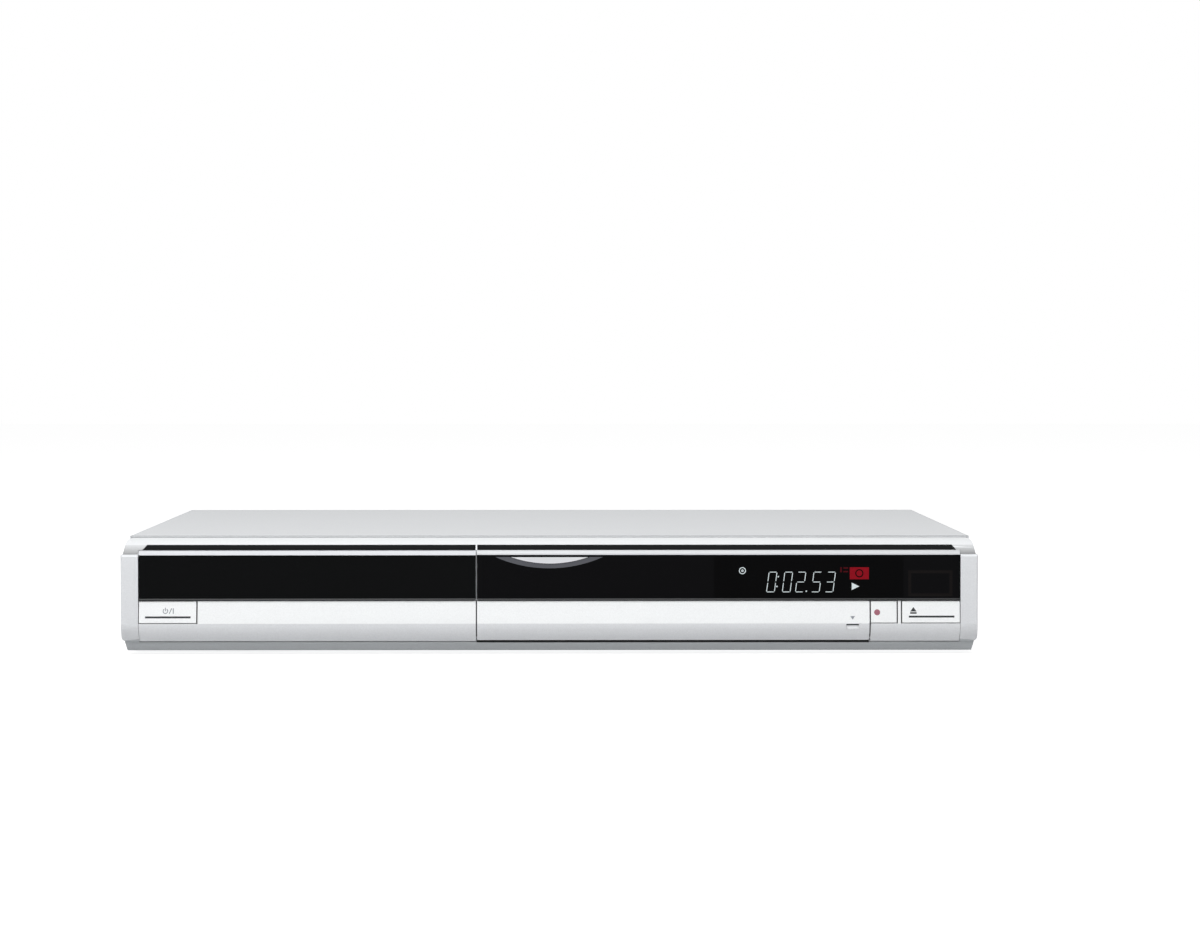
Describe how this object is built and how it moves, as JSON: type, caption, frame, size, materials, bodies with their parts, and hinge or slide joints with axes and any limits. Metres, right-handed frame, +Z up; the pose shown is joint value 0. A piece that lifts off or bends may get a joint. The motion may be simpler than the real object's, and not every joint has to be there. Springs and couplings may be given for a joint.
{
  "type": "disc recorder",
  "caption": "Slim home video recorder with a motorised disc tray, display window, fold-down flap over front sockets, hard disk inside and rear connectors.",
  "frame": {"origin": "on the floor under the middle of the recorder", "axes": "+Z up, -Y out of the front, +X to the right as seen from the front"},
  "size_m": [0.43, 0.34, 0.0595],
  "materials": {
    "cover_paint": "fine satin silver paint on folded steel",
    "silver_plastic": "moulded plastic with a satin silver coat",
    "black_gloss": "polished black plastic, smoked in front of the display",
    "pale_inlay": "pale printed inlay",
    "zinc_steel": "zinc plated sheet steel",
    "screw_steel": "bright plated",
    "black_plastic": "fine grained moulded plastic",
    "foot_plastic": "moulded plastic with a soft pad face",
    "button_grey": "satin moulded plastic",
    "nickel": "nickel plated brass and steel",
    "lens_glass": "polished glass",
    "board_green": "glass fibre board with green lacquer",
    "gear_white": "natural acetal",
    "belt_rubber": "soft black rubber",
    "motor_steel": "drawn steel can",
    "cast_alloy": "die cast, lightly blasted",
    "ribbon_grey": "flat grey insulation"
  },
  "bodies": {
    "recorder": {"ac_inlet": "black_plastic", "av_in_sockets": "nickel", "av_out_sockets": "nickel", "bottom_chassis": "zinc_steel", "case_screws": "screw_steel", "crescent_inlay": "pale_inlay", "digital_sockets": "nickel", "display_tube": "lens_glass", "display_window": "black_gloss", "drive_case": "zinc_steel", "drive_lid": "zinc_steel", "dv_in": "nickel", "fan_frame": "black_plastic", "feet": "foot_plastic", "front_board": "board_green", "front_fascia": "silver_plastic", "hdd_board": "board_green", "hdd_bracket": "zinc_steel", "hdd_case": "cast_alloy", "inner_panel": "black_plastic", "left_lower_panel": "silver_plastic", "loader_base": "black_plastic", "loading_belt": "belt_rubber", "loading_motor": "motor_steel", "main_board": "board_green", "power_supply": "board_green", "rear_panel": "zinc_steel", "remote_sensor": "black_plastic", "ribbon_cables": "ribbon_grey", "right_lower_panel": "silver_plastic", "s_video_in": "black_plastic", "scart_sockets": "black_plastic", "top_cover": "cover_paint", "top_inlay": "black_gloss", "tuner_unit": "zinc_steel"},
    "tray": {"disc_tray": "black_plastic", "tray_door": "black_gloss", "tray_door_trim": "silver_plastic"},
    "tray_drive_gear": {"tray_gear": "gear_white"},
    "belt_pulley": {"pulley_gear": "gear_white"},
    "motor_pulley_wheel": {"motor_pulley": "gear_white"},
    "traverse": {"traverse_frame": "zinc_steel", "spindle_motor": "motor_steel", "guide_rods": "zinc_steel", "sled_motor": "motor_steel"},
    "cam": {"cam_slider": "gear_white"},
    "disc_table": {"turntable": "black_plastic"},
    "clamper": {"disc_clamper": "black_plastic"},
    "pickup": {"laser_pickup": "cast_alloy", "pickup_lens": "lens_glass"},
    "lead_screw": {"sled_screw": "zinc_steel"},
    "fan": {"fan_rotor": "black_plastic"},
    "flap": {"front_flap": "silver_plastic"},
    "power_key": {"power_button": "silver_plastic"},
    "record_key": {"record_button": "silver_plastic"},
    "eject_key": {"eject_button": "silver_plastic"},
    "stop_key": {"stop_button": "button_grey"},
    "play_key": {"play_button": "button_grey"},
    "channel_down_key": {"channel_down_button": "button_grey"},
    "channel_up_key": {"channel_up_button": "button_grey"}
  },
  "joints": [
    {"name": "tray_slide", "type": "slide", "parent": "recorder", "child": "tray", "axis": [0, -1, 0], "range_m": [0, 0.135]},
    {"name": "tray_gear_spin", "type": "hinge", "parent": "recorder", "child": "tray_drive_gear", "pos_m": [-0.16753, -0.132, 0.03], "axis": [0, 0, 1], "range_deg": [0, 645]},
    {"name": "belt_pulley_spin", "type": "hinge", "parent": "recorder", "child": "belt_pulley", "pos_m": [-0.14952, -0.132, 0.026], "axis": [0, 0, 1], "range_deg": [-1934, 0]},
    {"name": "motor_pulley_spin", "type": "hinge", "parent": "recorder", "child": "motor_pulley_wheel", "pos_m": [-0.11152, -0.132, 0.026], "axis": [0, 0, 1], "range_deg": [-6285, 0]},
    {"name": "traverse_lift", "type": "hinge", "parent": "recorder", "child": "traverse", "pos_m": [-0.12152, 0.014, 0.0212], "axis": [1, 0, 0], "range_deg": [0, 3.5]},
    {"name": "cam_slide", "type": "slide", "parent": "recorder", "child": "cam", "axis": [-1, 0, 0], "range_m": [0, 0.018]},
    {"name": "spindle_spin", "type": "hinge", "parent": "traverse", "child": "disc_table", "pos_m": [-0.12152, -0.098, 0.036], "axis": [0, 0, 1], "continuous": true},
    {"name": "clamper_spin", "type": "hinge", "parent": "recorder", "child": "clamper", "pos_m": [-0.12152, -0.098, 0.045], "axis": [0, 0, 1], "continuous": true},
    {"name": "pickup_slide", "type": "slide", "parent": "traverse", "child": "pickup", "axis": [0, 1, 0], "range_m": [0, 0.034]},
    {"name": "lead_screw_spin", "type": "hinge", "parent": "traverse", "child": "lead_screw", "pos_m": [-0.08653, -0.045, 0.0264], "axis": [0, 1, 0], "range_deg": [0, 4081]},
    {"name": "fan_spin", "type": "hinge", "parent": "recorder", "child": "fan", "pos_m": [0.112, 0.155, 0.03175], "axis": [0, 1, 0], "continuous": true},
    {"name": "flap_hinge", "type": "hinge", "parent": "recorder", "child": "flap", "pos_m": [0.0622, -0.1641, 0.0089], "axis": [1, 0, 0], "range_deg": [0, 90]},
    {"name": "power_press", "type": "slide", "parent": "recorder", "child": "power_key", "axis": [0, 1, 0], "range_m": [0, 0.0008], "stiffness_N_per_m": 800},
    {"name": "record_press", "type": "slide", "parent": "recorder", "child": "record_key", "axis": [0, 1, 0], "range_m": [0, 0.0008], "stiffness_N_per_m": 800},
    {"name": "eject_press", "type": "slide", "parent": "recorder", "child": "eject_key", "axis": [0, 1, 0], "range_m": [0, 0.0008], "stiffness_N_per_m": 800},
    {"name": "stop_press", "type": "slide", "parent": "recorder", "child": "stop_key", "axis": [0, 1, 0], "range_m": [0, 0.0008], "stiffness_N_per_m": 800},
    {"name": "play_press", "type": "slide", "parent": "recorder", "child": "play_key", "axis": [0, 1, 0], "range_m": [0, 0.0008], "stiffness_N_per_m": 800},
    {"name": "channel_down_press", "type": "slide", "parent": "recorder", "child": "channel_down_key", "axis": [0, 1, 0], "range_m": [0, 0.0008], "stiffness_N_per_m": 800},
    {"name": "channel_up_press", "type": "slide", "parent": "recorder", "child": "channel_up_key", "axis": [0, 1, 0], "range_m": [0, 0.0008], "stiffness_N_per_m": 800}
  ],
  "couplings": [
    {"joint": "tray_gear_spin", "follows": "tray_slide", "rad_per_m": 83.333},
    {"joint": "belt_pulley_spin", "follows": "tray_slide", "rad_per_m": -250},
    {"joint": "motor_pulley_spin", "follows": "tray_slide", "rad_per_m": -812.5},
    {"joint": "cam_slide", "follows": "traverse_lift", "m_per_rad": 0.2946},
    {"joint": "clamper_spin", "follows": "spindle_spin", "ratio": 1},
    {"joint": "lead_screw_spin", "follows": "pickup_slide", "rad_per_m": 2094.4}
  ]
}
